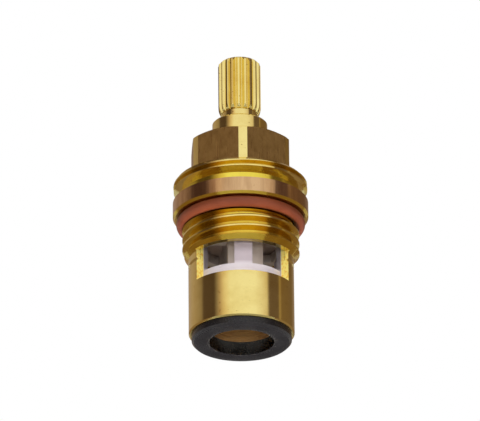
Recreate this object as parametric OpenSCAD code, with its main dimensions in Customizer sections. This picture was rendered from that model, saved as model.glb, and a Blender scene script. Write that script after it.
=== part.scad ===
// Quarter-turn ceramic disc tap cartridge, in millimetres.
// The axis is Z, the seal's face lies on Z = 0, and one window and one corner of the hexagon face -Y.

/* [Seat seal] */
// Diameter of the seal's flange under the sleeve
seal_flange_d = 17.6; // [17:0.1:18]
// Thickness of the flange, from the sealing face to the sleeve's rim
seal_flange_t = 1.45; // [1.2:0.05:2]
// Bore that lets the water in
seal_bore_d = 11.4; // [11.2:0.1:12]
// Width of the slanted edge round the bore, three times its height
seal_bore_bevel = 0.3; // [0.15:0.05:0.45]
// Height of the plug that stands in the sleeve
seal_plug_h = 3.75; // [3:0.05:4.5]
// Bevel of the flange's lower edge
seal_edge_bevel = 0.4; // [0.1:0.05:0.6]

/* [Support ring] */
// Bore of the brass ring inside the seal
support_bore_d = 11.4; // [10.8:0.1:11.6]
// Wall of the ring
support_wall = 0.9; // [0.6:0.05:1]
// Height of the ring
support_h = 2.65; // [1.5:0.05:2.8]

/* [Sleeve] */
// Outside diameter of the sleeve
sleeve_d = 18.6; // [18.4:0.1:19]
// Wall of the sleeve
sleeve_wall = 1.5; // [1.4:0.05:1.6]
// Height of the sleeve up to the joint with the bonnet
sleeve_h = 12.55; // [12:0.05:13]
// Wall of the two tongues that stand in the bonnet
tongue_wall = 0.7; // [0.5:0.05:0.8]
// Bevel of the sleeve's bottom rim
rim_bevel = 0.25; // [0.1:0.05:0.4]
// Bevel of both edges of the joint
seam_bevel = 0.3; // [0.1:0.02:0.4]

/* [Windows] */
// Height of the sill above the sleeve's bottom rim
window_sill_h = 8.55; // [8:0.05:9.5]
// Height of the two outlet windows
window_h = 5.8; // [5:0.1:6.2]
// Angle that each window spans
window_angle = 120; // [90:1:130]

/* [Ceramic discs] */
// Thickness of the fixed disc
fixed_disc_t = 3; // [2.5:0.1:3.5]
// Thickness of the moving disc
moving_disc_t = 2.8; // [2.4:0.1:3.2]
// Outer radius of the water ports
port_r = 5.5; // [5:0.1:5.7]
// Inner radius of the water ports
port_inner_r = 2; // [1.5:0.1:3]
// Angle that each port spans
port_angle = 80; // [60:1:84]
// Depth of the slot for the spindle's blade
drive_slot_depth = 1.4; // [1:0.1:1.6]
// Bevel of the discs' rims
disc_bevel = 0.2; // [0.1:0.05:0.3]
// Width of the keys that stop the fixed disc and the cage from turning
key_w = 2.8; // [2:0.1:4]
// Reach of the keys into the sleeve's wall
key_reach = 0.65; // [0.4:0.05:0.8]

/* [Cage] */
// Wall of the cage
cage_wall = 0.75; // [0.6:0.05:0.9]
// Height of the cage's ring under its windows
cage_sill_h = 3.8; // [3.5:0.1:4.2]
// Height of the cage's windows, up to the bonnet's shoulder
cage_window_h = 5; // [4.5:0.1:5.5]
// Angle that each of the two windows spans
cage_window_angle = 120; // [100:1:130]
// Angle that the post in the middle of each window spans
cage_post_angle = 23.5; // [15:0.5:30]
// Height of the cage's keys
cage_key_h = 1.4; // [1:0.1:1.6]

/* [Body thread] */
// Outside diameter of the thread that screws into the tap
thread_d = 20.7; // [20.5:0.05:20.95]
// Length of the full thread
thread_h = 4.6; // [4:0.1:5.5]
// Height of the plain skirt under the thread
skirt_h = 1.5; // [1:0.1:2]
// Height of the taper at the thread's start
thread_taper_h = 1.2; // [0.8:0.1:1.6]
// Depth of the thread
thread_depth = 1.0; // [0.9:0.05:1.16]
// Height of the thread's run-out
thread_runout_h = 0.3; // [0.2:0.05:0.5]

/* [Flanges] */
// Diameter of the flange that presses the body seal
flange_d = 24; // [23.5:0.1:25]
// Thickness of that flange
flange_t = 3; // [2.5:0.1:3.5]
// Bevel of the flange's lower edge
flange_bevel = 0.4; // [0.2:0.05:0.6]
// Diameter of the undercut above the flange
undercut_d = 21; // [20:0.1:22]
// Height of the undercut
undercut_h = 1.55; // [1.4:0.05:2.5]
// Outside diameter of the fine thread for a cover
cover_thread_d = 23.75; // [23:0.05:24]
// Height of the fine thread's full diameter
cover_thread_h = 1.2; // [0.8:0.05:1.5]
// Height of the taper under the fine thread
cover_taper_h = 0.75; // [0.6:0.05:1]
// Bevel on top of the fine thread
cover_bevel = 0.5; // [0.3:0.05:0.7]

/* [Body seal] */
// Section diameter of the ring under the flange
body_ring_section = 2; // [1.8:0.05:2]

/* [Hexagon and collar] */
// Width across the flats
hex_flats = 17; // [16.5:0.1:17.5]
// Diameter that the corners are turned to
hex_turned_d = 18.8; // [18:0.1:19]
// Height of the hexagon
hex_h = 7.4; // [6:0.1:8]
// Slope of the chamfer on top of the hexagon
hex_chamfer = 30; // [15:1:40]
// Diameter of the collar
collar_d = 9.8; // [9.6:0.1:10.4]
// Height of the collar
collar_h = 4.2; // [3.5:0.1:5.5]
// Bevel of the collar's top edge
collar_bevel = 0.25; // [0.1:0.05:0.3]

/* [Spindle] */
// Diameter over the teeth of the spline
spline_d = 7.56; // [7.4:0.02:7.7]
// Number of teeth
spline_teeth = 20; // [16:1:24]
// Depth of the teeth
spline_depth = 0.52; // [0.3:0.02:0.54]
// Turn of the groove next to the front, towards +X
spline_turn = 3.9; // [-9:0.1:9]
// Length of the spline with its rounding and bevel
spline_h = 10.1; // [8:0.1:14]
// Height of the rounding at the spline's lower end
spline_round_h = 1.5; // [0.5:0.05:2]
// Bevel at the spline's top
spline_top_bevel = 0.45; // [0.2:0.05:0.6]
// Gap between the collar's top and the spline
spline_gap = 1.7; // [1.5:0.1:4]
// Diameter of the neck under the spline
neck_d = 6.4; // [6:0.1:6.5]
// Height of the land between the clip and the neck, above the collar
clip_land_h = 0.45; // [0.3:0.05:0.6]
// Diameter of the journal that turns in the bonnet
journal_d = 7.8; // [7.75:0.05:8]
// Diameter of the thrust flange
thrust_flange_d = 12.8; // [12:0.1:13.2]
// Thickness of the thrust flange
thrust_flange_t = 1.6; // [1.2:0.1:2]
// Width of the drive blade
blade_w = 6.2; // [5:0.1:6.4]
// Gap between the drive blade's ends and the cage
blade_gap = 0.67; // [0.5:0.01:1]
// Turn of the blade from the front, towards +X
blade_turn = 5; // [0:1:15]
// Tapping hole for the handle's screw
screw_hole_d = 3.3; // [2.5:0.1:3.5]
// Depth of that hole
screw_hole_h = 9; // [6:0.5:12]

/* [Spindle seals and clip] */
// Section diameter of the two rings on the journal
spindle_ring_section = 1.2; // [1:0.05:1.3]
// Width of each ring's groove
ring_groove_w = 1.5; // [1.4:0.05:1.8]
// Height of the lower groove above the flange chamber
low_groove_h = 9; // [7:0.1:10]
// Distance between the two grooves
groove_pitch = 4; // [3:0.1:6]
// Thickness of the thrust washer
washer_t = 0.46; // [0.4:0.02:0.6]
// Distance of the washer's rim from the thrust flange's rim
washer_inset = 0.5; // [0.2:0.1:0.8]
// Outside diameter of the clip
clip_d = 8.4; // [8.2:0.05:8.5]
// Thickness of the clip
clip_t = 0.5; // [0.4:0.05:0.55]
// Opening of the clip
clip_opening = 70; // [50:1:100]

/* [Quarter turn] */
// Travel of the spindle between its stops
turn_angle = 90; // [80:1:95]
// Height of the two stops in the bonnet
stop_h = 1.4; // [1:0.1:1.6]
// Inner radius of the stops
stop_r = 4.6; // [4.4:0.1:5]
// Play between the blade and a stop at either end
stop_play = 0.05; // [0.03:0.01:0.1]

/* [Clearances] */
// Radial clearance of what is pushed into the sleeve
push_clear = 0.08; // [0.04:0.01:0.1]
// Radial clearance of what turns in a bore
running_clear = 0.05; // [0.03:0.01:0.08]
// Radial clearance of the moving disc in the cage
disc_clear = 0.1; // [0.06:0.01:0.2]
// Gap between the two lapped discs
lapped_gap = 0.02; // [0.01:0.01:0.03]
// Side clearance of keys and of the blade in its slot
key_clear = 0.06; // [0.03:0.01:0.1]
// Axial play of washer, clip and tongues
axial_play = 0.02; // [0.01:0.01:0.05]
// Clearance round the thrust flange, the washer and the clip
recess_clear = 0.2; // [0.1:0.05:0.3]

/* [Hidden] */
$fn = 96;
overlap = 0.5;

// Radii of the sleeve and of what stands in it
sleeve_r = sleeve_d / 2;
sleeve_bore_r = sleeve_r - sleeve_wall;
plug_r = sleeve_bore_r - push_clear;
support_r = support_bore_d / 2 + support_wall;
cage_bore_r = plug_r - cage_wall;
moving_disc_r = cage_bore_r - disc_clear;
blade_r = cage_bore_r - blade_gap;
tongue_r = sleeve_bore_r + tongue_wall;
key_end = sleeve_bore_r + key_reach;

// Heights from the sealing face up to the shoulder in the bonnet
seal_top = seal_flange_t + seal_plug_h;
support_z = seal_top - support_h;
fixed_top = seal_top + fixed_disc_t;
moving_z = fixed_top + lapped_gap;
moving_top = moving_z + moving_disc_t;
shoulder_z = fixed_top + cage_sill_h + cage_window_h;
seam_z = seal_flange_t + sleeve_h;
window_z = seal_flange_t + window_sill_h;

// Heights on the outside of the bonnet
taper_z = seam_z + skirt_h;
thread_z = taper_z + thread_taper_h;
thread_top = thread_z + thread_h;
flange_z = thread_top + thread_runout_h + body_ring_section;
undercut_z = flange_z + flange_t;
cover_taper_z = undercut_z + undercut_h;
cover_thread_z = cover_taper_z + cover_taper_h;
cover_top = cover_thread_z + cover_thread_h + cover_bevel;
hex_top = cover_top + hex_h;
collar_top = hex_top + collar_h;

// Radii on the outside of the bonnet
thread_r = thread_d / 2;
relief_r = thread_r - thread_depth;
cover_thread_r = cover_thread_d / 2;
collar_r = collar_d / 2;

// Inside of the bonnet
socket_r = tongue_r + running_clear;
journal_r = journal_d / 2;
bonnet_bore_r = journal_r + running_clear;
thrust_flange_r = thrust_flange_d / 2;
chamber_r = max(thrust_flange_r, blade_r) + recess_clear;
thrust_z = shoulder_z + stop_h + recess_clear;
thrust_top = thrust_z + thrust_flange_t;
chamber_top = thrust_top + washer_t + 2 * axial_play;
clip_z = collar_top - clip_t - axial_play;
clip_recess_z = clip_z - axial_play;
clip_recess_r = clip_d / 2 + recess_clear / 2;

// Spindle
spline_z = collar_top + spline_gap;
spindle_top = spline_z + spline_h;
spline_r = spline_d / 2;
neck_r = neck_d / 2;
neck_z = collar_top + clip_land_h;
blade_z = moving_top - drive_slot_depth + axial_play;
ring_centre_r = bonnet_bore_r - running_clear / 2 - spindle_ring_section / 2;
groove_floor_r = ring_centre_r - spindle_ring_section / 2 - running_clear / 2;
ring_groove = [
    [journal_r, 0], [groove_floor_r, 0], [groove_floor_r, ring_groove_w], [journal_r, ring_groove_w]
];
groove_z = [chamber_top + low_groove_h, chamber_top + low_groove_h + groove_pitch];
front = -90;

function polar(r, angle) = r * [cos(angle), sin(angle)];

// Pie slice around the X axis, from the origin out past radius r
module slice(angle, r, h) {
    sides = 4;
    reach = r / cos(angle / sides / 2);
    linear_extrude(h)
        polygon([[0, 0], for (step = [0:sides]) polar(reach, angle * (step / sides - 0.5))]);
}

module tube(outer_r, inner_r, h) {
    difference() {
        cylinder(r = outer_r, h = h);
        translate([0, 0, -overlap]) cylinder(r = inner_r, h = h + 2 * overlap);
    }
}

// Ring of round section
module o_ring(centre_r, section_d) {
    rotate_extrude() translate([centre_r, 0]) circle(d = section_d);
}

// Round plate with both rims bevelled
module bevelled_disc(r, h, bevel) {
    rotate_extrude()
        polygon([[0, 0], [r - bevel, 0], [r, bevel], [r, h - bevel], [r - bevel, h], [0, h]]);
}

// Bar across the axis whose two ends are the keys
module key_bar(reach, width, h) {
    translate([-reach, -width / 2, 0]) cube([2 * reach, width, h]);
}

// Both outlet windows, cut with radial side walls
module windows() {
    for (side = [0, 180])
        rotate([0, 0, front + side])
            translate([0, 0, window_z]) slice(window_angle, 2 * flange_d, window_h);
}

// Two opposite sector ports, right through a disc
module ports(h) {
    for (side = [0, 180])
        rotate([0, 0, side])
            intersection() {
                tube(port_r, port_inner_r, h);
                slice(port_angle, 2 * port_r, h);
            }
}

// Black rubber top-hat seal, with its flat sealing face at the bottom and a seat for the support ring
module seat_seal() {
    flange_r = seal_flange_d / 2;
    bore_r = seal_bore_d / 2;
    seat_r = support_r + push_clear;
    color("#2b2a29")
        rotate_extrude()
            polygon([
                [bore_r, seal_bore_bevel / 3], [bore_r + seal_bore_bevel, 0], [flange_r - seal_edge_bevel, 0],
                [flange_r, seal_edge_bevel], [flange_r, seal_flange_t], [plug_r, seal_flange_t],
                [plug_r, seal_top], [seat_r, seal_top], [seat_r, support_z], [bore_r, support_z]
            ]);
}

// Brass ring that keeps the seal's plug open
module seal_support_ring() {
    color("#a9803c")
        translate([0, 0, support_z]) tube(support_r, support_bore_d / 2, support_h);
}

// Lower brass body with half of the windows, key grooves in its bore and two tongues for the bonnet
module disc_sleeve() {
    tongue_top = shoulder_z - axial_play;
    color("#d9b656")
        difference() {
            rotate_extrude()
                polygon([
                    [sleeve_bore_r, seal_flange_t], [sleeve_r - rim_bevel, seal_flange_t],
                    [sleeve_r, seal_flange_t + rim_bevel], [sleeve_r, seam_z - seam_bevel],
                    [sleeve_r - seam_bevel, seam_z], [tongue_r, seam_z], [tongue_r, tongue_top],
                    [sleeve_bore_r, tongue_top]
                ]);
            windows();
            sleeve_top_gaps();
            translate([0, 0, seal_flange_t - overlap])
                key_bar(key_end, key_w, fixed_top + cage_key_h + overlap - seal_flange_t);
        }
}

// Gaps above the windows that leave the sleeve's spigot as two tongues
module sleeve_top_gaps() {
    for (side = [0, 180])
        rotate([0, 0, front + side])
            translate([0, 0, seam_z]) slice(window_angle, 2 * flange_d, shoulder_z);
}

// Lower ceramic disc, keyed in the sleeve
module fixed_disc() {
    color("#efece4")
        translate([0, 0, seal_top])
            difference() {
                union() {
                    bevelled_disc(plug_r, fixed_disc_t, disc_bevel);
                    key_bar(key_end - key_clear, key_w - 2 * key_clear, fixed_disc_t);
                }
                translate([0, 0, -overlap])
                    rotate([0, 0, front + blade_turn]) ports(fixed_disc_t + 2 * overlap);
            }
}

// Upper ceramic disc, with the slot for the spindle's blade
module moving_disc() {
    color("#f4f2ec")
        translate([0, 0, moving_z])
            rotate([0, 0, blade_turn])
                difference() {
                    bevelled_disc(moving_disc_r, moving_disc_t, disc_bevel);
                    translate([0, 0, -overlap]) ports(moving_disc_t + 2 * overlap);
                    translate([0, 0, moving_disc_t - drive_slot_depth])
                        rotate([0, 0, 90])
                            key_bar(2 * moving_disc_r, blade_w + 2 * key_clear, drive_slot_depth + overlap);
                }
}

// White cage that guides the moving disc and spaces it from the bonnet, with a post in each window
module disc_cage() {
    gap_angle = (cage_window_angle - cage_post_angle) / 2;
    gap_turn = (gap_angle + cage_post_angle) / 2;
    color("#f1eef2")
        translate([0, 0, fixed_top])
            difference() {
                union() {
                    cylinder(r = plug_r, h = shoulder_z - fixed_top);
                    key_bar(key_end - key_clear, key_w - 2 * key_clear, cage_key_h);
                }
                translate([0, 0, -overlap]) cylinder(r = cage_bore_r, h = shoulder_z);
                for (side = [0, 180], turn = [-gap_turn, gap_turn])
                    rotate([0, 0, front + side + turn])
                        translate([0, 0, cage_sill_h]) slice(gap_angle, 2 * sleeve_d, shoulder_z);
            }
}

// Upper brass body
module bonnet() {
    color("#dcb95a") {
        difference() {
            union() {
                rotate_extrude() polygon(bonnet_outline());
                hexagon();
            }
            rotate_extrude() polygon(bonnet_cavity());
            windows();
        }
        stops();
    }
}

// Outside of the bonnet from the joint up to the collar, without the hexagon
function bonnet_outline() = [
    [0, seam_z], [sleeve_r - seam_bevel, seam_z], [sleeve_r, seam_z + seam_bevel], [sleeve_r, taper_z],
    [thread_r, thread_z], [thread_r, thread_top], [relief_r, thread_top + thread_runout_h],
    [relief_r, flange_z], [flange_d / 2 - flange_bevel, flange_z], [flange_d / 2, flange_z + flange_bevel],
    [flange_d / 2, undercut_z], [undercut_d / 2, undercut_z], [undercut_d / 2, cover_taper_z],
    [cover_thread_r, cover_thread_z], [cover_thread_r, cover_top - cover_bevel],
    [cover_thread_r - cover_bevel, cover_top], [collar_r, cover_top], [collar_r, collar_top - collar_bevel],
    [collar_r - collar_bevel, collar_top], [0, collar_top]
];

// Inside of the bonnet: socket for the tongues, flange chamber, journal bore and clip recess
function bonnet_cavity() = [
    [0, seam_z - overlap], [socket_r, seam_z - overlap], [socket_r, shoulder_z],
    [chamber_r, shoulder_z], [chamber_r, chamber_top], [bonnet_bore_r, chamber_top],
    [bonnet_bore_r, clip_recess_z], [clip_recess_r, clip_recess_z], [clip_recess_r, collar_top + overlap],
    [0, collar_top + overlap]
];

// Hexagon with turned corners and a chamfered top
module hexagon() {
    flat_r = hex_flats / 2;
    turned_r = hex_turned_d / 2;
    low = cover_top - overlap;
    intersection() {
        translate([0, 0, low])
            rotate([0, 0, 30]) cylinder(r = flat_r / cos(30), h = hex_h + overlap, $fn = 6);
        rotate_extrude()
            polygon([
                [0, low], [turned_r, low], [turned_r, hex_top - (turned_r - flat_r) * tan(hex_chamfer)],
                [flat_r, hex_top], [0, hex_top]
            ]);
    }
}

// Two stops in the flange chamber that the blade turns between, with flanks along the blade's sides
module stops() {
    for (side = [0, 180])
        rotate([0, 0, front + blade_turn + side])
            translate([0, 0, shoulder_z])
                intersection() {
                    tube(chamber_r + overlap, stop_r, stop_h);
                    beside_blade();
                    rotate([0, 0, turn_angle]) beside_blade();
                }
}

// Everything on one side of the blade, at the height of the stops
module beside_blade() {
    translate([-2 * chamber_r, blade_w / 2 + stop_play, 0]) cube([4 * chamber_r, 2 * chamber_r, stop_h]);
}

// Red-brown ring that seals the flange
module body_o_ring() {
    ring_r = relief_r + running_clear + body_ring_section / 2;
    color("#9a563a")
        translate([0, 0, flange_z - axial_play - body_ring_section / 2]) o_ring(ring_r, body_ring_section);
}

// Low-friction washer on the spindle's flange
module thrust_washer() {
    color("#e4e1d8")
        translate([0, 0, thrust_top + axial_play])
            tube(thrust_flange_r - washer_inset, bonnet_bore_r + recess_clear, washer_t);
}

// Brass spindle
module spindle() {
    color("#e0bd60")
        difference() {
            union() {
                rotate_extrude() polygon(spindle_outline());
                spline();
                drive_blade();
            }
            screw_hole();
        }
}

// Spindle from the thrust flange up into the spline, with two ring grooves and the clip groove
function spindle_outline() = [
    [0, thrust_z], [thrust_flange_r, thrust_z], [thrust_flange_r, thrust_top],
    [journal_r, thrust_top],
    for (z = groove_z, corner = ring_groove) [corner[0], z + corner[1]],
    [journal_r, clip_recess_z], [neck_r, clip_recess_z], [neck_r, collar_top],
    [spline_r, collar_top], [spline_r, neck_z], [neck_r, neck_z], [neck_r, spline_z + overlap],
    [0, spline_z + overlap]
];

// Straight teeth, turned to the outside diameter, rounded at the lower end and bevelled at the top
module spline() {
    pitch = 360 / spline_teeth;
    root_r = spline_r - spline_depth;
    // corners of one tooth before it is turned, in shares of the pitch and of the depth
    tooth = [[-0.45, 0], [-0.03, 1.4], [0.03, 1.4], [0.45, 0]];
    rotate([0, 0, front + spline_turn])
        intersection() {
            translate([0, 0, spline_z])
                linear_extrude(spline_h)
                    polygon([
                        for (i = [0:spline_teeth - 1], corner = tooth)
                            polar(root_r + corner[1] * spline_depth, (i + 0.5 + corner[0]) * pitch)
                    ]);
            rotate_extrude()
                polygon([
                    [0, spline_z],
                    for (t = [0:15:90])
                        [neck_r + (spline_r - neck_r) * sin(t), spline_z + spline_round_h * (1 - cos(t))],
                    [spline_r, spindle_top - spline_top_bevel], [spline_r - spline_top_bevel, spindle_top],
                    [0, spindle_top]
                ]);
        }
}

// Flat blade under the thrust flange that turns the moving disc
module drive_blade() {
    h = thrust_z + overlap - blade_z;
    translate([0, 0, blade_z])
        rotate([0, 0, front + blade_turn])
            intersection() {
                cylinder(r = blade_r, h = h);
                key_bar(2 * blade_r, blade_w, h);
            }
}

// Tapping hole in the spindle's top, with a countersunk mouth and the drill's blunt point
module screw_hole() {
    hole_r = screw_hole_d / 2;
    mouth_r = hole_r + spline_top_bevel;
    point_r = hole_r / 6;
    point_z = spindle_top - screw_hole_h - hole_r;
    rotate_extrude()
        polygon([
            [0, point_z], [point_r, point_z], [hole_r, spindle_top - screw_hole_h],
            [hole_r, spindle_top - spline_top_bevel], [mouth_r, spindle_top],
            [mouth_r, spindle_top + overlap], [0, spindle_top + overlap]
        ]);
}

// Black ring in one groove of the journal
module spindle_o_ring(groove) {
    color("#242322")
        translate([0, 0, groove_z[groove] + ring_groove_w / 2]) o_ring(ring_centre_r, spindle_ring_section);
}

module lower_spindle_o_ring() {
    spindle_o_ring(0);
}

module upper_spindle_o_ring() {
    spindle_o_ring(1);
}

// Open snap ring that holds the spindle down in the collar's recess
module spindle_clip() {
    color("#b9b9bb")
        translate([0, 0, clip_z])
            difference() {
                tube(clip_d / 2, neck_r + running_clear, clip_t);
                translate([0, 0, -overlap]) slice(clip_opening, clip_d, clip_t + 2 * overlap);
            }
}

seat_seal();
seal_support_ring();
disc_sleeve();
fixed_disc();
moving_disc();
disc_cage();
bonnet();
body_o_ring();
thrust_washer();
spindle();
lower_spindle_o_ring();
upper_spindle_o_ring();
spindle_clip();
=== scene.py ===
import math

import bmesh
import bpy
from mathutils import Matrix, Vector


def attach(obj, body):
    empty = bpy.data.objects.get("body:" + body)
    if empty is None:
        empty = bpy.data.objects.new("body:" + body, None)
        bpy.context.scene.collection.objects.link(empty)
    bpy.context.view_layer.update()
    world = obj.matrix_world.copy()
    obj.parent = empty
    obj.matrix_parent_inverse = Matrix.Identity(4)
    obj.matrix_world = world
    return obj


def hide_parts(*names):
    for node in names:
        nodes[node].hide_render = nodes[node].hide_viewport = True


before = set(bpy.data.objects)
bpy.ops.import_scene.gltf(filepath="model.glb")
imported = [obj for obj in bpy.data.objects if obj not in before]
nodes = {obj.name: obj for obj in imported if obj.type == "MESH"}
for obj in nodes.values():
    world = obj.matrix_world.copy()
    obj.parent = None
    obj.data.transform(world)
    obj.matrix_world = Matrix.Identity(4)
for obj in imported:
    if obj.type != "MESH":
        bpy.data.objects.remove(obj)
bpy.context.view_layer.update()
mm = 0.001
print("frame loaded:", len(nodes), "nodes")


def toLinear(hexColour):
    # sRGB hex to the linear colour that shaders take
    values = [int(hexColour[i:i + 2], 16) / 255 for i in (1, 3, 5)]
    return [v / 12.92 if v <= 0.04045 else ((v + 0.055) / 1.055) ** 2.4 for v in values] + [1.0]


def addNode(tree, kind, settings=None, links=None):
    # settings are the node's own properties or its input values, links are sockets of earlier nodes
    node = tree.nodes.new(kind)
    for key, value in (settings or {}).items():
        if isinstance(key, str) and hasattr(node, key):
            setattr(node, key, value)
        else:
            node.inputs[key].default_value = value
    for key, socket in (links or {}).items():
        tree.links.new(socket, node.inputs[key])
    return node


def newMaterial(name):
    material = bpy.data.materials.new(name)
    material.use_nodes = True
    tree = material.node_tree
    tree.nodes.clear()
    return material, tree


def setRamp(rampNode, places, colours):
    ramp = rampNode.color_ramp
    while len(ramp.elements) < len(places):
        ramp.elements.new(0.5)
    for element, place, colour in zip(ramp.elements, places, colours):
        element.position = place
        element.color = toLinear(colour)


def objectFrom(bm, name):
    mesh = bpy.data.meshes.new(name)
    bm.to_mesh(mesh)
    bm.free()
    made = bpy.data.objects.new(name, mesh)
    bpy.context.scene.collection.objects.link(made)
    return made


# camera: a long lens, below the cartridge and looking up at it
view = {
    "target": (-0.1, 0.0, 25.4),    # mm
    "distance": 1000.0,             # mm
    "azimuth": -3.2,                # degrees from the front, to the right
    "elevation": -24.0,
    "roll": -0.53,
    "lens": 423.75, "sensor": 36.0,    # mm
    "clip": (0.05, 20.0),           # m
}

cameraData = bpy.data.cameras.new("camera")
cameraData.lens = view["lens"]
cameraData.sensor_width = view["sensor"]
cameraData.clip_start, cameraData.clip_end = view["clip"]
camera = bpy.data.objects.new("camera", cameraData)
bpy.context.scene.collection.objects.link(camera)
tilt = math.radians(view["elevation"])
swing = math.radians(view["azimuth"])
away = Vector((math.sin(swing) * math.cos(tilt), -math.cos(swing) * math.cos(tilt), math.sin(tilt)))
camera.location = Vector(view["target"]) * mm + away * view["distance"] * mm
camera.rotation_mode = "QUATERNION"
turned = (-away).to_track_quat("-Z", "Y").to_matrix() @ Matrix.Rotation(math.radians(view["roll"]), 3, "Z")
camera.rotation_quaternion = turned.to_quaternion()
bpy.context.scene.camera = camera
bpy.context.scene.view_settings.view_transform = "Standard"
print("camera set")


# levels between which a pattern or a face turns from one finish to the other
finishLevels = {
    "across": (0.3, 0.5),     # the larger of the normal's outward and upward shares
    "wall": (0.8, 0.5),       # the normal's upward share
    "marks": (0.3, 0.7), "stains": (0.3, 0.6), "pits": (0.72, 0.8), "torn": (0.36, 0.52),    # noise values
    "clouds": (0.35, 0.65), "grain": (0.3, 0.7),
    "latheGloss": (0.75, 1.35), "mouldGloss": (0.85, 1.15),    # shares of the roughness
    "drawnScale": 0.03,       # along the bar, where draw lines run far
    "soilLift": 0.6, "soilEdge": 0.14, "soilCover": 0.8,
    "greaseEdge": 0.1,        # mm
    "glowReach": (0.0012, 0.001, 0.0009),    # m, how far light goes inside plastic
}


def aroundAxis(tree, place):
    # the place's axes, the part of it that lies across the turning axis, and its radius
    axes = addNode(tree, "ShaderNodeSeparateXYZ", links={0: place})
    flat = addNode(tree, "ShaderNodeCombineXYZ", links={"X": axes.outputs["X"], "Y": axes.outputs["Y"]})
    radius = addNode(tree, "ShaderNodeVectorMath", {"operation": "LENGTH"}, {0: flat.outputs[0]})
    return axes, flat.outputs[0], radius.outputs["Value"]


def upwardShare(tree, normal):
    # 0 on upright walls, 1 on level faces
    parts = addNode(tree, "ShaderNodeSeparateXYZ", links={0: normal})
    return addNode(tree, "ShaderNodeMath", {"operation": "ABSOLUTE"}, {0: parts.outputs["Z"]}).outputs[0]


def acrossFaces(tree, normal, flat):
    # 1 on upright faces that stand across the turning, 0 on those that face outwards, up or down
    outward = addNode(tree, "ShaderNodeVectorMath", {"operation": "NORMALIZE"}, {0: flat})
    along = addNode(tree, "ShaderNodeVectorMath", {"operation": "DOT_PRODUCT"},
                    {0: normal, 1: outward.outputs[0]})
    along = addNode(tree, "ShaderNodeMath", {"operation": "ABSOLUTE"}, {0: along.outputs["Value"]})
    larger = addNode(tree, "ShaderNodeMath", {"operation": "MAXIMUM"},
                     {0: along.outputs[0], 1: upwardShare(tree, normal)})
    share = addNode(tree, "ShaderNodeMapRange",
                    {"From Min": finishLevels["across"][0], "From Max": finishLevels["across"][1],
                     "To Min": 1.0, "To Max": 0.0}, {0: larger.outputs[0]})
    return share.outputs[0]


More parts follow.
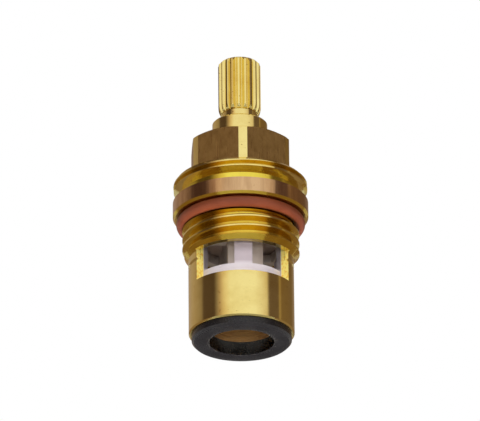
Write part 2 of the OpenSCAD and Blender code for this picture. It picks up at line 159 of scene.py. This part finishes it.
# turned brass: a soft metal cut on a lathe, so it is bright and carries fine rings round the axis;
# walls that stand across the turning, such as the windows' sides, were milled and are rougher
def latheBrass(name, brass):
    material, tree = newMaterial(name)
    where = addNode(tree, "ShaderNodeTexCoord")
    place = where.outputs["Object"]
    axes, flat, radius = aroundAxis(tree, place)
    stainPlace = place
    if brass["drawn"]:    # draw lines run along the bar, and stains with them
        lines = addNode(tree, "ShaderNodeMapping", {"Scale": (1, 1, finishLevels["drawnScale"])}, {0: place})
        stainPlace = addNode(tree, "ShaderNodeMapping", {"Scale": (1, 1, brass["stainStretch"])},
                             {0: place}).outputs[0]
    else:
        lines = addNode(tree, "ShaderNodeCombineXYZ", links={"X": radius, "Z": axes.outputs["Z"]})
    marks = addNode(tree, "ShaderNodeTexNoise",
                    {"Scale": 1 / (brass["ringPitch"] * mm), "Detail": 2.0, "Roughness": 0.6},
                    {"Vector": lines.outputs[0]})
    stain = addNode(tree, "ShaderNodeTexNoise",
                    {"Scale": 1 / (brass["stainSize"] * mm), "Detail": 4.0, "Roughness": 0.6},
                    {"Vector": stainPlace})
    tint = addNode(tree, "ShaderNodeValToRGB", links={0: stain.outputs[0]})
    setRamp(tint, finishLevels["stains"], (brass["dull"], brass["bright"]))
    specks = addNode(tree, "ShaderNodeTexNoise", {"Scale": 1 / (brass["pitSize"] * mm), "Detail": 1.0},
                     {"Vector": place})
    pits = addNode(tree, "ShaderNodeMapRange",
                   {"From Min": finishLevels["pits"][0], "From Max": finishLevels["pits"][1]},
                   {0: specks.outputs[0]})
    tint = addNode(tree, "ShaderNodeMix", {"data_type": "RGBA", 7: toLinear(brass["pit"])},
                   {0: pits.outputs[0], 6: tint.outputs[0]})
    if "soil" in brass:    # dirt that gathers at one end of a surface
        lift = addNode(tree, "ShaderNodeMapRange",
                       {"From Min": brass["soilZ"][0] * mm, "From Max": brass["soilZ"][1] * mm,
                        "To Max": finishLevels["soilLift"]}, {0: axes.outputs["Z"]})
        patch = addNode(tree, "ShaderNodeMath", {"operation": "SUBTRACT"},
                        {0: stain.outputs[0], 1: lift.outputs[0]})
        soiled = addNode(tree, "ShaderNodeMapRange",
                         {"From Min": brass["soilFrom"],
                          "From Max": brass["soilFrom"] + finishLevels["soilEdge"],
                          "To Max": finishLevels["soilCover"]}, {0: patch.outputs[0]})
        tint = addNode(tree, "ShaderNodeMix", {"data_type": "RGBA", 7: toLinear(brass["soil"])},
                       {0: soiled.outputs[0], 6: tint.outputs[2]})
    torn = addNode(tree, "ShaderNodeValToRGB", links={0: specks.outputs[0]})
    setRamp(torn, finishLevels["torn"], (brass["milledDull"], brass["milled"]))
    gloss = addNode(tree, "ShaderNodeMapRange",
                    {"From Min": finishLevels["marks"][0], "From Max": finishLevels["marks"][1],
                     "To Min": brass["roughness"] * finishLevels["latheGloss"][0],
                     "To Max": brass["roughness"] * finishLevels["latheGloss"][1]}, {0: marks.outputs[0]})
    grooves = addNode(tree, "ShaderNodeBump",
                      {"Strength": brass["ringStrength"], "Distance": brass["ringDepth"] * mm},
                      {"Height": marks.outputs[0]})
    milled = acrossFaces(tree, where.outputs["Normal"], flat)
    colour = addNode(tree, "ShaderNodeMix", {"data_type": "RGBA"},
                     {0: milled, 6: tint.outputs[2], 7: torn.outputs[0]})
    rough = addNode(tree, "ShaderNodeMix", {3: brass["milledRoughness"]}, {0: milled, 2: gloss.outputs[0]})
    metal = addNode(tree, "ShaderNodeMapRange", {"To Min": 1.0, "To Max": brass["milledMetal"]}, {0: milled})
    if "grease" in brass:    # the inside carries a grey film of silicone grease
        low = addNode(tree, "ShaderNodeMath", {"operation": "LESS_THAN", 1: brass["greaseTop"] * mm},
                      {0: axes.outputs["Z"]})
        greased = addNode(tree, "ShaderNodeMapRange",
                          {"From Min": brass["greaseRadius"] * mm,
                           "From Max": (brass["greaseRadius"] + finishLevels["greaseEdge"]) * mm,
                           "To Max": 0.0}, {0: radius, "To Min": low.outputs[0]})
        colour = addNode(tree, "ShaderNodeMix", {"data_type": "RGBA", 7: toLinear(brass["grease"])},
                         {0: greased.outputs[0], 6: colour.outputs[2]})
        rough = addNode(tree, "ShaderNodeMix", {3: brass["greaseRoughness"]},
                        {0: greased.outputs[0], 2: rough.outputs[0]})
        metal = addNode(tree, "ShaderNodeMix", {3: brass["greaseMetal"]},
                        {0: greased.outputs[0], 2: metal.outputs[0]})
    shader = addNode(tree, "ShaderNodeBsdfPrincipled", links={
        "Base Color": colour.outputs[2], "Roughness": rough.outputs[0], "Metallic": metal.outputs[0],
        "Normal": grooves.outputs[0]})
    addNode(tree, "ShaderNodeOutputMaterial", links={"Surface": shader.outputs[0]})
    return material


turnedBrassLook = {
    "bright": "#EFDC8E", "dull": "#E3CB7A", "roughness": 0.1,
    "ringPitch": 0.3,     # mm, coarser than a real feed mark of about 0.1 so that it shows
    "ringDepth": 0.01, "ringStrength": 0.45, "stainSize": 5.0,
    "pit": "#A8854A", "pitSize": 0.4,    # mm, small pores of the brass
    "milled": "#FFE980", "milledDull": "#F4C64E", "milledRoughness": 0.5,
    "milledMetal": 0.0,    # torn milling marks scatter light like a matt surface
    "drawn": False,
}
# threads and undercut keep cutting oil and look a deeper yellow, insides are grey with grease,
# and the support ring, deep in the seal's bore, is darkened to a brown as painted shade
housingBrassLook = dict(turnedBrassLook, grease="#DCD2C8", greaseRoughness=0.6, greaseMetal=0.2,
                        greaseTop=22.0, greaseRadius=7.85)
threadBrassLook = dict(turnedBrassLook, bright="#E0C04A", dull="#D1AA3C", roughness=0.16)
undercutBrassLook = dict(turnedBrassLook, bright="#ECD856", dull="#E2CA4A", roughness=0.14)
spindleBrassLook = dict(turnedBrassLook, grease="#C6B8AF", greaseRoughness=0.5, greaseMetal=0.4,
                        greaseTop=20.5, greaseRadius=7.0)
supportBrassLook = dict(turnedBrassLook, bright="#82633F", dull="#725130", roughness=0.3)
turnedBrass = latheBrass("turned brass", housingBrassLook)
threadBrass = latheBrass("thread-cut brass, oiled", threadBrassLook)
undercutBrass = latheBrass("grooved brass, oiled", undercutBrassLook)
spindleBrass = latheBrass("turned and broached brass", spindleBrassLook)
supportBrass = latheBrass("turned brass, darkened as painted shade", supportBrassLook)

# hexagon flats and the flange's rim: the drawn bar's own skin, dull and a little brown
hexBrassLook = dict(turnedBrassLook, bright="#B08E57", dull="#9A7A48", roughness=0.34, stainSize=1.6,
                    drawn=True, stainStretch=0.8, ringPitch=0.15, ringStrength=0.12, soil="#5C4026",
                    soilZ=(30.6, 34.6), soilFrom=0.42)
rimBrassLook = dict(turnedBrassLook, bright="#D2AD80", dull="#B68F66", roughness=0.16, stainSize=1.6,
                    ringPitch=0.5, ringDepth=0.03, ringStrength=0.6, drawn=True, stainStretch=0.15)
hexBrass = latheBrass("drawn brass bar skin", hexBrassLook)
rimBrass = latheBrass("brass rim, as drawn", rimBrassLook)

# spring steel stamped from strip: grey, with a soft shine
springSteelLook = dict(turnedBrassLook, bright="#C9C9CB", dull="#B3B3B7", milled="#BDBDC0",
                       milledDull="#A9A9AD", pit="#808084", roughness=0.25)
springSteel = latheBrass("stamped spring steel", springSteelLook)


# moulded rubber and plastic: one even colour, a fine grain from the mould and a soft sheen
def moulded(name, look):
    material, tree = newMaterial(name)
    where = addNode(tree, "ShaderNodeTexCoord")
    place = where.outputs["Object"]
    normal = where.outputs["Normal"]
    grain = addNode(tree, "ShaderNodeTexNoise",
                    {"Scale": 1 / (look["grain"] * mm), "Detail": 3.0, "Roughness": 0.6}, {"Vector": place})
    cloud = addNode(tree, "ShaderNodeTexNoise",
                    {"Scale": 1 / (look["cloud"] * mm), "Detail": 2.0}, {"Vector": place})
    tint = addNode(tree, "ShaderNodeValToRGB", links={0: cloud.outputs[0]})
    setRamp(tint, finishLevels["clouds"], (look["dark"], look["light"]))
    colour = tint.outputs[0]
    if "paintedShade" in look:    # painted shade: a darker tone over part of the piece
        axes, flat, radius = aroundAxis(tree, place)
        span = {"From Min": look["paintedShadeSpan"][0] * mm, "From Max": look["paintedShadeSpan"][1] * mm}
        if look["paintedShadeOn"] == "top":    # painted shade from a height up, deepest across the turning
            shadeMask = addNode(tree, "ShaderNodeMapRange", span, {0: axes.outputs["Z"]})
            deepShadeMask = acrossFaces(tree, normal, flat)
        else:    # painted shade on upright walls, deepest in the bore
            shadeMask = addNode(tree, "ShaderNodeMapRange",
                            {"From Min": finishLevels["wall"][0], "From Max": finishLevels["wall"][1]},
                            {0: upwardShare(tree, normal)})
            deepShadeMask = addNode(tree, "ShaderNodeMapRange", span, {0: radius}).outputs[0]
        paintedShade = addNode(tree, "ShaderNodeMix",
                       {"data_type": "RGBA", 6: toLinear(look["paintedShade"]), 7: toLinear(look["deepPaintedShade"])},
                       {0: deepShadeMask})
        colour = addNode(tree, "ShaderNodeMix", {"data_type": "RGBA"},
                         {0: shadeMask.outputs[0], 6: colour, 7: paintedShade.outputs[2]}).outputs[2]
    gloss = addNode(tree, "ShaderNodeMapRange",
                    {"From Min": finishLevels["grain"][0], "From Max": finishLevels["grain"][1],
                     "To Min": look["roughness"] * finishLevels["mouldGloss"][0],
                     "To Max": look["roughness"] * finishLevels["mouldGloss"][1]}, {0: grain.outputs[0]})
    bumps = addNode(tree, "ShaderNodeBump",
                    {"Strength": look["grainStrength"], "Distance": look["grainDepth"] * mm},
                    {"Height": grain.outputs[0]})
    shader = addNode(tree, "ShaderNodeBsdfPrincipled",
                     {"IOR": look["ior"], "Specular IOR Level": look["shine"],
                      "Subsurface Weight": look["glow"], "Subsurface Radius": finishLevels["glowReach"],
                      "Subsurface Scale": 1.0},
                     {"Base Color": colour, "Roughness": gloss.outputs[0], "Normal": bumps.outputs[0]})
    addNode(tree, "ShaderNodeOutputMaterial", links={"Surface": shader.outputs[0]})
    return material


# nitrile rubber: nearly black and half matt; painted shade darkens its walls, and its bore most
blackRubber = moulded("moulded nitrile rubber, black", {
    "light": "#323031", "dark": "#2A2829", "roughness": 0.26, "ior": 1.52, "shine": 0.3, "glow": 0.0,
    "paintedShade": "#201E1F", "deepPaintedShade": "#060506", "paintedShadeOn": "walls", "paintedShadeSpan": (6.0, 5.8),
    "grain": 0.25, "grainDepth": 0.01, "grainStrength": 0.15, "cloud": 4.0})
# silicone rubber: an even red-brown with a soft sheen
redRubber = moulded("moulded silicone rubber, red-brown", {
    "light": "#814027", "dark": "#72361F", "roughness": 0.45, "ior": 1.45, "shine": 0.5, "glow": 0.0,
    "grain": 0.25, "grainDepth": 0.02, "grainStrength": 0.25, "cloud": 4.0})
# acetal: a dense white that lets a little light in, and painted shade greys it above the sill
whiteAcetal = moulded("moulded acetal, white", {
    "light": "#E8DEE4", "dark": "#DED3DA", "roughness": 0.35, "ior": 1.48, "shine": 0.5, "glow": 0.15,
    "paintedShade": "#C5B7BE", "deepPaintedShade": "#7E7678", "paintedShadeOn": "top", "paintedShadeSpan": (11.9, 12.6),
    "grain": 0.2, "grainDepth": 0.01, "grainStrength": 0.15, "cloud": 3.0})
# plastic cut from sheet: off-white and plain
washerPlastic = moulded("cut plastic washer, natural", {
    "light": "#E6E2D6", "dark": "#D8D3C4", "roughness": 0.4, "ior": 1.4, "shine": 0.5, "glow": 0.1,
    "grain": 0.2, "grainDepth": 0.01, "grainStrength": 0.2, "cloud": 2.0})
# sintered alumina: hard and white, with the even gloss of lapping
alumina = moulded("sintered alumina, lapped", {
    "light": "#F3F0E8", "dark": "#E6E2D8", "roughness": 0.22, "ior": 1.76, "shine": 0.5, "glow": 0.0,
    "grain": 0.15, "grainDepth": 0.004, "grainStrength": 0.2, "cloud": 1.5})
print("materials made")


# bonnet with both threads cut into it, right-hand, in mm
bonnetLook = {
    "weld": 0.001, "crease": 24.0,
    "level": 0.999, "upright": 0.05,    # the normal's upward share
    "hexZ": (30.65, 38.05), "hexFlat": 8.5, "hexSlack": 0.02,
    "rimZ": (23.9, 26.7), "rimR": 12.0, "rimSlack": 0.05,
    # zones that keep cutting oil: finish, lowest and highest z, and the radii between which they lie
    "oiled": [(threadBrass, 15.51, 21.9, 9.31, 10.2), (threadBrass, 28.95, 30.05, 11.0, 11.8),
              (threadBrass, 23.61, 23.99, 11.5, 12.0), (undercutBrass, 26.65, 28.1, 10.3, 10.7)],
    "bodyThread": {"pitch": 1.79, "grooveZ": 19.12, "rootR": 9.37, "outerR": 10.42, "rootWidth": 0.4,
                   "flank": 30.0, "from": -1.8, "to": 1.62, "stepsPerTurn": 96},
    "coverThread": {"pitch": 1.06, "grooveZ": 29.52, "rootR": 11.25, "outerR": 12.0, "rootWidth": 0.08,
                    "flank": 30.0, "from": -1.4, "to": 0.9, "stepsPerTurn": 96},
}


def helixCutter(name, thread):
    # V-shaped bar wound round the axis, in mm, that cuts the thread's groove
    halfRoot = thread["rootWidth"] / 2
    halfMouth = halfRoot + (thread["outerR"] - thread["rootR"]) * math.tan(math.radians(thread["flank"]))
    startZ = thread["grooveZ"] + thread["from"] * thread["pitch"]
    bm = bmesh.new()
    section = [(thread["rootR"], halfRoot), (thread["outerR"], halfMouth),
               (thread["outerR"], -halfMouth), (thread["rootR"], -halfRoot)]
    corners = [bm.verts.new((0, -r, startZ + z)) for r, z in section]
    sides = [bm.edges.new((corners[i - 1], corners[i])) for i in range(len(corners))]
    turns = thread["to"] - thread["from"]
    steps = round(thread["stepsPerTurn"] * turns)
    startTurn = Matrix.Rotation(2 * math.pi * thread["from"], 3, "Z")
    bmesh.ops.rotate(bm, verts=corners, cent=(0, 0, 0), matrix=startTurn)
    bmesh.ops.spin(bm, geom=corners + sides, cent=(0, 0, 0), axis=(0, 0, 1), angle=2 * math.pi * turns,
                   steps=steps, dvec=(0, 0, thread["pitch"] * turns / steps), use_merge=False)
    bmesh.ops.holes_fill(bm, edges=[e for e in bm.edges if e.is_boundary], sides=0)
    bmesh.ops.recalc_face_normals(bm, faces=bm.faces)
    return objectFrom(bm, name)


def cutAway(piece, cutter):
    cut = piece.modifiers.new("cut", "BOOLEAN")
    cut.operation = "DIFFERENCE"
    cut.solver = "EXACT"
    cut.object = cutter
    bpy.context.view_layer.update()
    shown = piece.evaluated_get(bpy.context.evaluated_depsgraph_get())
    mesh = bpy.data.meshes.new_from_object(shown)
    piece.modifiers.remove(cut)
    oldMeshes = piece.data, cutter.data
    piece.data = mesh
    bpy.data.objects.remove(cutter)
    for oldMesh in oldMeshes:
        bpy.data.meshes.remove(oldMesh)


bm = bmesh.new()
bm.from_mesh(nodes["bonnet"].data)
bmesh.ops.scale(bm, vec=(1 / mm, 1 / mm, 1 / mm), verts=bm.verts)
bmesh.ops.remove_doubles(bm, verts=bm.verts, dist=bonnetLook["weld"])
bonnet = objectFrom(bm, "threaded_bonnet")
cutAway(bonnet, helixCutter("body_thread_groove", bonnetLook["bodyThread"]))
cutAway(bonnet, helixCutter("cover_thread_groove", bonnetLook["coverThread"]))

bm = bmesh.new()
bm.from_mesh(bonnet.data)
bmesh.ops.remove_doubles(bm, verts=bm.verts, dist=bonnetLook["weld"])
bmesh.ops.dissolve_degenerate(bm, dist=bonnetLook["weld"], edges=bm.edges)
openEdges = [e for e in bm.edges if not e.is_manifold]
print("bonnet:", len(bm.faces), "faces,", len(openEdges), "open edges")

bonnetBrass = [turnedBrass, threadBrass, hexBrass, rimBrass, undercutBrass]
for edge in bm.edges:
    edge.smooth = edge.calc_face_angle(0.0) < math.radians(bonnetLook["crease"])
for face in bm.faces:
    face.smooth = abs(face.normal.z) < bonnetLook["level"]    # level faces stay flat up to their edges
    middle = face.calc_center_median()
    reach = math.hypot(middle.x, middle.y)
    upright = abs(face.normal.z) < bonnetLook["upright"]
    across = middle.x * face.normal.x + middle.y * face.normal.y
    finish = turnedBrass
    for oiledBrass, zLow, zHigh, rLow, rHigh in bonnetLook["oiled"]:
        if zLow < middle.z < zHigh and rLow < reach and (reach < rHigh or not upright):
            finish = oiledBrass
    if upright and bonnetLook["hexZ"][0] < middle.z < bonnetLook["hexZ"][1]:
        if abs(across - bonnetLook["hexFlat"]) < bonnetLook["hexSlack"]:
            finish = hexBrass
    if upright and bonnetLook["rimZ"][0] < middle.z < bonnetLook["rimZ"][1]:
        if abs(across - bonnetLook["rimR"]) < bonnetLook["rimSlack"]:
            finish = rimBrass
    face.material_index = bonnetBrass.index(finish)
bmesh.ops.scale(bm, vec=(mm, mm, mm), verts=bm.verts)
bonnet.data.materials.clear()
for material in bonnetBrass:
    bonnet.data.materials.append(material)
bm.to_mesh(bonnet.data)
bm.free()
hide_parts("bonnet")
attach(bonnet, "housing")
print("threads cut")


# the other pieces keep their shape and get their finish
finishes = {
    "seat_seal": blackRubber, "seal_support_ring": supportBrass, "disc_sleeve": turnedBrass,
    "fixed_disc": alumina, "moving_disc": alumina, "disc_cage": whiteAcetal, "bonnet": turnedBrass,
    "body_o_ring": redRubber, "thrust_washer": washerPlastic, "spindle": spindleBrass,
    "lower_spindle_o_ring": blackRubber, "upper_spindle_o_ring": blackRubber, "spindle_clip": springSteel,
}
for nodeName, material in finishes.items():
    nodes[nodeName].material_slots[0].material = material
print("finishes given")


# studio, in m: pale floor that is clear from below, soft lamps, and cards that only show in reflections
studio = {
    "floorSize": 3.0, "floorZ": -0.0003, "floor": "#ECECEA",
    "ringRadius": 0.75, "ringLow": -0.01, "ringHigh": 1.6, "ringSteps": 96,
    # colours of the cards round the object, by degrees from the camera's side, to the right
    "cards": [(-180, "#AC9A8C"), (-130, "#B09D8D"), (-118, "#A79484"), (-106, "#9C8A7B"), (-97, "#8F7D70"),
              (-90, "#594842"), (-61, "#54433C"), (-54, "#907F75"), (-47, "#BCA493"), (-40, "#E2D0BE"),
              (-33, "#F4E8DA"), (-24, "#FFFFFF"), (30, "#FFFFFF"), (57, "#E3D6CA"), (63, "#695750"),
              (88, "#6B5950"), (92, "#A8916F"), (98, "#7C654E"), (140, "#745E48"), (180, "#AC9A8C")],
    # the floor card is painted shade, seen by the metal alone
    "floorCard": "#8C7662", "floorCardR": (0.010, 0.090), "floorCardZ": 0.0001,
    "floorCardAngle": 275.0, "floorCardSteps": 48,
    "ambient": 0.12, "background": 1.0,
    "lampAim": (0.0, 0.0, 0.025),
    "lamps": [    # place, size and watts
        ("key", (0.05, -1.05, 0.75), 0.6, 7.0),
        ("fill", (0.0, -1.2, -0.06), 0.4, 4.1),
        ("top", (0.0, 0.1, 1.3), 0.9, 4.5),
        ("backLeft", (-0.8, 0.7, 0.9), 0.8, 1.5),
        ("backRight", (0.8, 0.8, 0.9), 0.8, 1.5),
        ("low", (0.0, 0.0, -0.9), 0.15, 10.0),
    ],
}


def keepToReflections(card):
    card.visible_camera = card.visible_diffuse = card.visible_shadow = card.visible_transmission = False


bm = bmesh.new()
bmesh.ops.create_grid(bm, x_segments=1, y_segments=1, size=studio["floorSize"])
bmesh.ops.translate(bm, vec=(0, 0, studio["floorZ"]), verts=bm.verts)
floor = objectFrom(bm, "floor")
floor.visible_shadow = False    # the low lamp shines through
floorPaint, tree = newMaterial("pale floor")
side = addNode(tree, "ShaderNodeNewGeometry").outputs["Backfacing"]
paint = addNode(tree, "ShaderNodeBsdfDiffuse", {"Color": toLinear(studio["floor"])})
clear = addNode(tree, "ShaderNodeBsdfTransparent")
mixed = addNode(tree, "ShaderNodeMixShader", links={0: side, 1: paint.outputs[0], 2: clear.outputs[0]})
addNode(tree, "ShaderNodeOutputMaterial", links={"Surface": mixed.outputs[0]})
floor.data.materials.append(floorPaint)

# both cards glow on either side, so which way their faces point makes no difference
bm = bmesh.new()
low = bm.verts.new((0, -studio["ringRadius"], studio["ringLow"]))
high = bm.verts.new((0, -studio["ringRadius"], studio["ringHigh"]))
bmesh.ops.spin(bm, geom=[low, high, bm.edges.new((low, high))], cent=(0, 0, 0), axis=(0, 0, 1),
               angle=2 * math.pi, steps=studio["ringSteps"], use_merge=True)
ring = objectFrom(bm, "card_ring")
keepToReflections(ring)
cardPaint, tree = newMaterial("card ring")
place = addNode(tree, "ShaderNodeTexCoord").outputs["Object"]
axes = addNode(tree, "ShaderNodeSeparateXYZ", links={0: place})
facing = addNode(tree, "ShaderNodeMath", {"operation": "MULTIPLY", 1: -1.0}, {0: axes.outputs["Y"]})
angle = addNode(tree, "ShaderNodeMath", {"operation": "ARCTAN2"},
                {0: axes.outputs["X"], 1: facing.outputs[0]})
share = addNode(tree, "ShaderNodeMapRange", {"From Min": -math.pi, "From Max": math.pi},
                {0: angle.outputs[0]})
cards = addNode(tree, "ShaderNodeValToRGB", links={0: share.outputs[0]})
directions, cardColours = zip(*studio["cards"])
setRamp(cards, [(degrees + view["azimuth"] + 180) / 360 for degrees in directions], cardColours)
glow = addNode(tree, "ShaderNodeEmission", {"Strength": 1.0}, {"Color": cards.outputs[0]})
addNode(tree, "ShaderNodeOutputMaterial", links={"Surface": glow.outputs[0]})
ring.data.materials.append(cardPaint)

# dark card on the floor round the object's sides and back: painted shade on the floor that the metal
# reflects
bm = bmesh.new()
near, far = [bm.verts.new((0, r, studio["floorCardZ"])) for r in studio["floorCardR"]]
bmesh.ops.rotate(bm, verts=bm.verts, cent=(0, 0, 0),
                 matrix=Matrix.Rotation(math.radians(-studio["floorCardAngle"] / 2), 3, "Z"))
bmesh.ops.spin(bm, geom=[near, far, bm.edges.new((near, far))], cent=(0, 0, 0), axis=(0, 0, 1),
               angle=math.radians(studio["floorCardAngle"]), steps=studio["floorCardSteps"])
floorCard = objectFrom(bm, "floor_card")
keepToReflections(floorCard)
darkPaint, tree = newMaterial("dark card")
glow = addNode(tree, "ShaderNodeEmission", {"Strength": 1.0, "Color": toLinear(studio["floorCard"])})
addNode(tree, "ShaderNodeOutputMaterial", links={"Surface": glow.outputs[0]})
floorCard.data.materials.append(darkPaint)

for name, spot, size, power in studio["lamps"]:
    lampData = bpy.data.lights.new(name, "AREA")
    lampData.shape = "DISK"
    lampData.size = size
    lampData.energy = power
    lamp = bpy.data.objects.new(name, lampData)
    bpy.context.scene.collection.objects.link(lamp)
    lamp.location = spot
    lamp.rotation_euler = (Vector(studio["lampAim"]) - Vector(spot)).to_track_quat("-Z", "Y").to_euler()
    lamp.visible_glossy = False
    lamp.visible_camera = False

# the background is white to the eye and in reflections, and a faint even light otherwise
world = bpy.data.worlds.new("studio")
bpy.context.scene.world = world
world.use_nodes = True
tree = world.node_tree
tree.nodes.clear()
path = addNode(tree, "ShaderNodeLightPath")
seen = addNode(tree, "ShaderNodeMath", {"operation": "MAXIMUM"},
               {0: path.outputs["Is Camera Ray"], 1: path.outputs["Is Glossy Ray"]})
seen = addNode(tree, "ShaderNodeMath", {"operation": "MAXIMUM"},
               {0: seen.outputs[0], 1: path.outputs["Is Transmission Ray"]})
soft = addNode(tree, "ShaderNodeBackground", {"Color": (1, 1, 1, 1), "Strength": studio["ambient"]})
white = addNode(tree, "ShaderNodeBackground", {"Color": (1, 1, 1, 1), "Strength": studio["background"]})
mixed = addNode(tree, "ShaderNodeMixShader",
                links={0: seen.outputs[0], 1: soft.outputs[0], 2: white.outputs[0]})
addNode(tree, "ShaderNodeOutputWorld", links={"Surface": mixed.outputs[0]})
print("studio lit")
